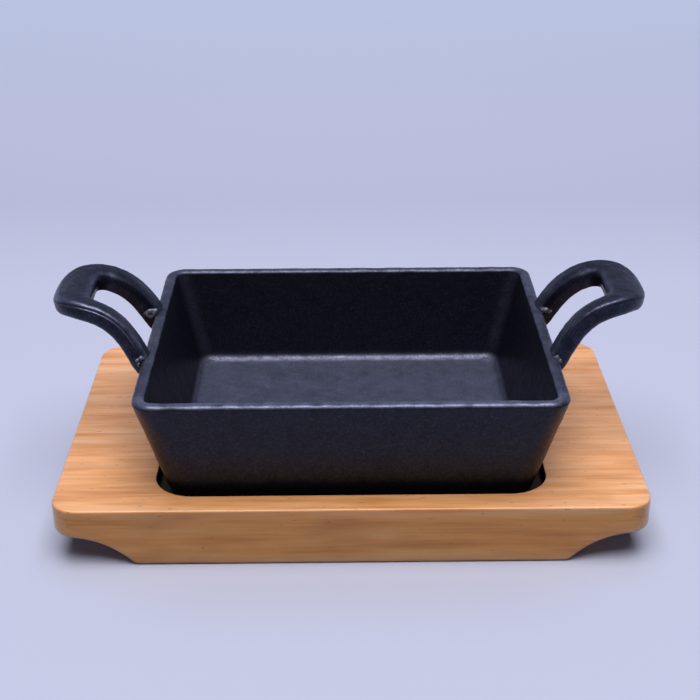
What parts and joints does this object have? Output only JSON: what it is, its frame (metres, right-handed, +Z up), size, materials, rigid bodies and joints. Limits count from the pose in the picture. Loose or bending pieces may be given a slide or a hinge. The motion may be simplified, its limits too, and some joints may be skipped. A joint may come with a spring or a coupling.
{
  "type": "cast iron sizzler pan",
  "caption": "Rectangular cast iron sizzler dish with raised loop handles, standing in the routed recess of a wooden serving board with undercut ends.",
  "frame": {"origin": "middle of the board's flat underside", "axes": "+X from the left handle to the right one, +Y from the front edge to the back edge, +Z up"},
  "size_m": [0.2332, 0.145, 0.085],
  "materials": {
    "dish_iron": "matte black, seasoned, fine sand-cast grain",
    "handle_left_iron": "matte black, seasoned, fine sand-cast grain",
    "handle_right_iron": "matte black, seasoned, fine sand-cast grain",
    "board_wood": "satin varnish, grain along the length"
  },
  "bodies": {
    "board": {"wooden_board": "board_wood"},
    "pan": {"dish": "dish_iron", "handle_left": "handle_left_iron", "handle_right": "handle_right_iron"}
  },
  "joints": [
    {"name": "pan_lift", "type": "slide", "parent": "board", "child": "pan", "axis": [0, 0, 1], "range_m": [0, 0.06]}
  ]
}
